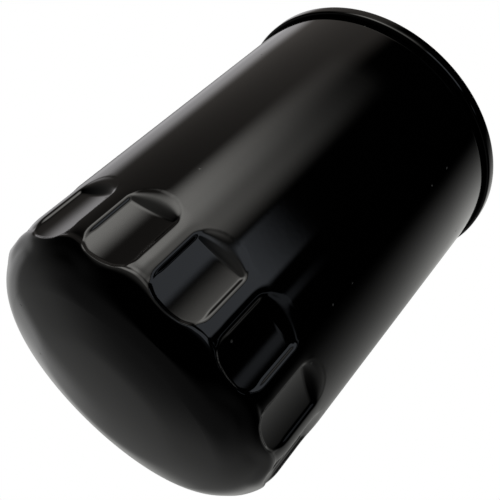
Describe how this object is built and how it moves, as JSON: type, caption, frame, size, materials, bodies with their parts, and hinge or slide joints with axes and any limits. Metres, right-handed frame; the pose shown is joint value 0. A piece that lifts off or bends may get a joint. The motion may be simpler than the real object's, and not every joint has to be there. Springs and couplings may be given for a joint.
{
  "type": "oil filter",
  "caption": "Spin-on oil filter: domed steel can with wrench flutes and rolled seam, threaded base plate, gasket, pleated element and valves.",
  "frame": {"origin": "centre of the gasket's sealing face, on the thread's axis", "axes": "+Z runs along the thread's axis from the engine face to the dome; +X passes through the middle of one wrench flute"},
  "size_m": [0.078, 0.078, 0.1093],
  "materials": {
    "can_paint": "glossy black paint",
    "lid_paint": "black paint on the seam, thin on the engine side",
    "plate_steel": "plated, satin",
    "compound": "matt",
    "gasket_rubber": "oiled satin",
    "valve_rubber": "matt",
    "spring_steel": "drawn wire, satin",
    "cap_steel": "tinplate",
    "bond": "cured plastisol",
    "paper": "resin-treated filter paper",
    "valve_steel": "zinc-plated"
  },
  "bodies": {
    "housing": {"can": "can_paint", "seaming_lid": "lid_paint", "seam_compound": "compound", "base_plate": "plate_steel", "gasket": "gasket_rubber", "element_spring": "spring_steel"},
    "drainback_valve": {"anti_drainback_valve": "valve_rubber"},
    "element": {"hub_grommet": "gasket_rubber", "lower_end_cap": "cap_steel", "lower_cap_bond": "bond", "center_tube": "cap_steel", "pleated_media": "paper", "media_clip": "cap_steel", "upper_cap_bond": "bond", "upper_end_cap": "cap_steel", "bypass_valve_cage": "valve_steel", "bypass_valve_seat": "valve_steel", "bypass_spring": "spring_steel"},
    "bypass_valve": {"bypass_poppet": "valve_steel", "bypass_seal_disc": "valve_rubber"}
  },
  "joints": [
    {"name": "element_float", "type": "slide", "parent": "housing", "child": "element", "axis": [0, 0, 1], "range_m": [0, 0.0015], "stiffness_N_per_m": 8000, "springref_m": -0.008, "deforming": ["element_spring"]},
    {"name": "drainback_valve_lift", "type": "slide", "parent": "housing", "child": "drainback_valve", "axis": [0, 0, 1], "range_m": [0, 0.0012], "stiffness_N_per_m": 300, "springref_m": -0.002},
    {"name": "bypass_valve_lift", "type": "slide", "parent": "element", "child": "bypass_valve", "axis": [0, 0, -1], "range_m": [0, 0.003], "stiffness_N_per_m": 2500, "springref_m": -0.006, "deforming": ["bypass_spring"]}
  ]
}
